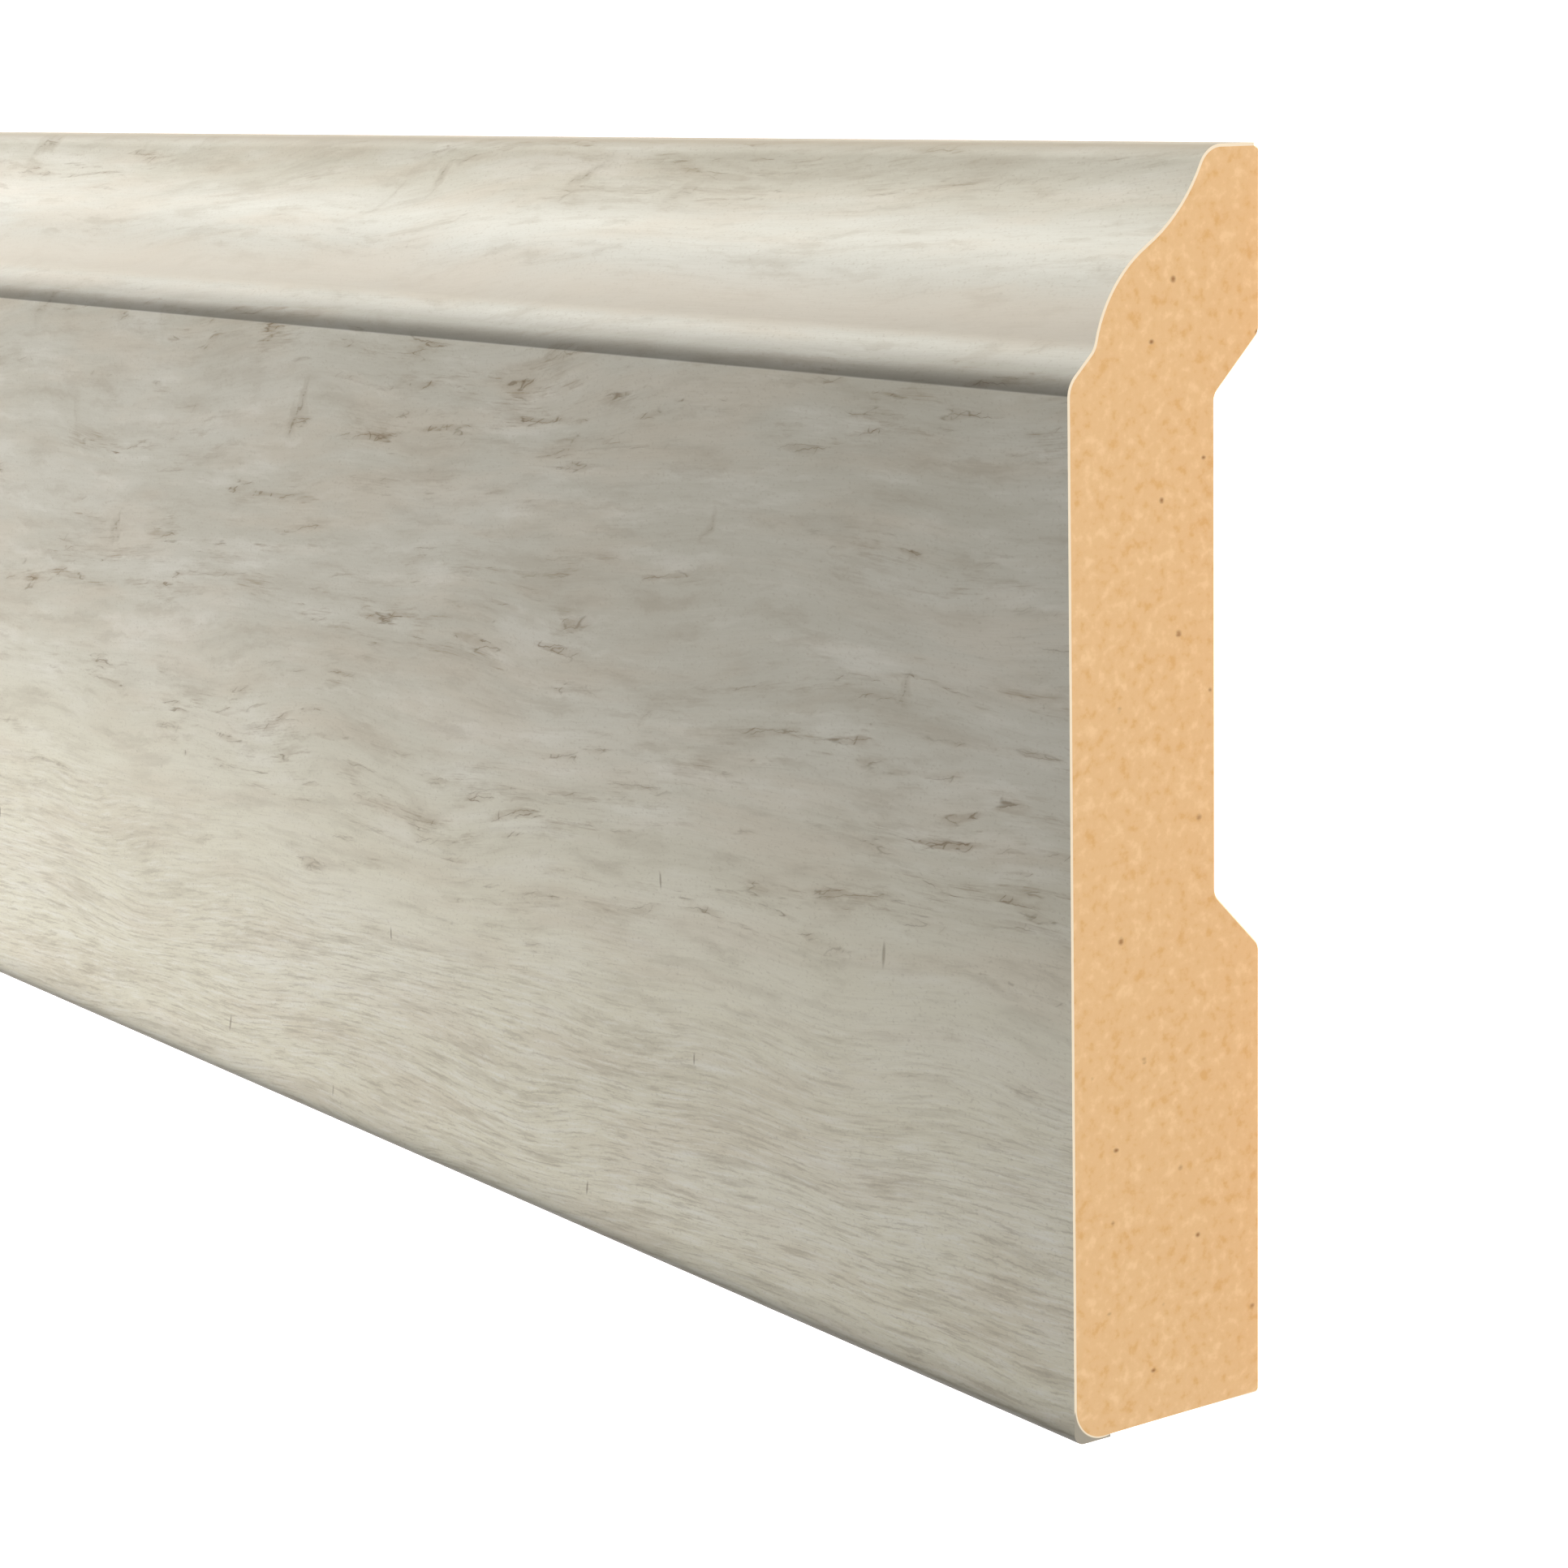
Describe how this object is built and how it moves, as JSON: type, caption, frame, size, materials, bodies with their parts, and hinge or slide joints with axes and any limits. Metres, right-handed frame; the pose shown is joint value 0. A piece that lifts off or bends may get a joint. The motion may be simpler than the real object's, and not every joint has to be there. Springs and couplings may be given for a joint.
{
  "type": "skirting board length",
  "caption": "Long skirting board with a wood-print wrap, ogee-moulded top edge and relieved back; covers the joint between wall and floor.",
  "frame": {"origin": "middle of the length and of the height, on the plane of the two back pads that the board lies on", "axes": "+X along the length, +Y towards the moulded top edge, +Z out of the decor side"},
  "size_m": [2.3876, 0.0826, 0.0159],
  "materials": {
    "mdf": "raw, moulded and sawn",
    "decor_foil": "matt printed wood decor"
  },
  "bodies": {
    "root": {"mdf_core": "mdf", "decor_wrap": "decor_foil"}
  },
  "joints": []
}
